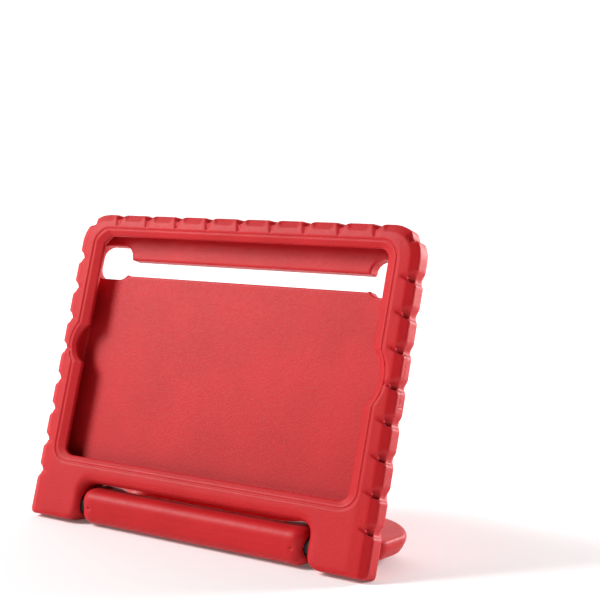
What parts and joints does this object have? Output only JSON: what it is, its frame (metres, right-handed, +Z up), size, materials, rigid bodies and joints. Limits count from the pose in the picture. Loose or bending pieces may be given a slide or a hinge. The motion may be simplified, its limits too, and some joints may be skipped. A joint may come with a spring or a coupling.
{
  "type": "tablet case with folding handle stand",
  "caption": "Thick foam tablet case with a scalloped rim, front lip, slotted back, flap over the port and a carry handle that folds back into a stand.",
  "frame": {"origin": "centre of the base of the whole object standing on its legs and folded handle", "axes": "+X along the case's width towards the home button end, +Y from the front to the folded handle, +Z up"},
  "size_m": [0.2206, 0.0778, 0.1691],
  "materials": {
    "foam": "closed-cell EVA foam, satin, finely pebbled skin",
    "plastic_insert": "moulded nylon, matte black",
    "friction_rubber": "black nitrile rubber",
    "steel_pin": "drawn steel rod"
  },
  "bodies": {
    "case": {"case_body": "foam", "leg_bush_left": "plastic_insert", "leg_bush_right": "plastic_insert"},
    "handle": {"handle_grip": "foam", "handle_socket_left": "plastic_insert", "handle_socket_right": "plastic_insert", "hinge_pin_left": "steel_pin", "hinge_pin_right": "steel_pin", "friction_ring_left": "friction_rubber", "friction_ring_right": "friction_rubber", "cross_pins": "steel_pin"},
    "port_cover": {"port_flap": "foam"},
    "volume_up": {"volume_up_pad": "foam"},
    "volume_down": {"volume_down_pad": "foam"},
    "power": {"power_pad": "foam"}
  },
  "joints": [
    {"name": "handle_fold", "type": "hinge", "parent": "case", "child": "handle", "pos_m": [0.00035, -0.02738, 0.01051], "axis": [-1, 0, 0], "range_deg": [0, 104.5]},
    {"name": "port_flap_open", "type": "hinge", "parent": "case", "child": "port_cover", "pos_m": [0.11035, -0.00725, 0.09472], "axis": [0, -0.2744, -0.9616], "range_deg": [0, 100], "stiffness_Nm_per_rad": 0.004},
    {"name": "volume_up_press", "type": "slide", "parent": "case", "child": "volume_up", "axis": [0, -0.2744, -0.9616], "range_m": [0, 0.001], "stiffness_N_per_m": 1500},
    {"name": "volume_down_press", "type": "slide", "parent": "case", "child": "volume_down", "axis": [0, -0.2744, -0.9616], "range_m": [0, 0.001], "stiffness_N_per_m": 1500},
    {"name": "power_press", "type": "slide", "parent": "case", "child": "power", "axis": [1, 0, 0], "range_m": [0, 0.001], "stiffness_N_per_m": 1500}
  ]
}
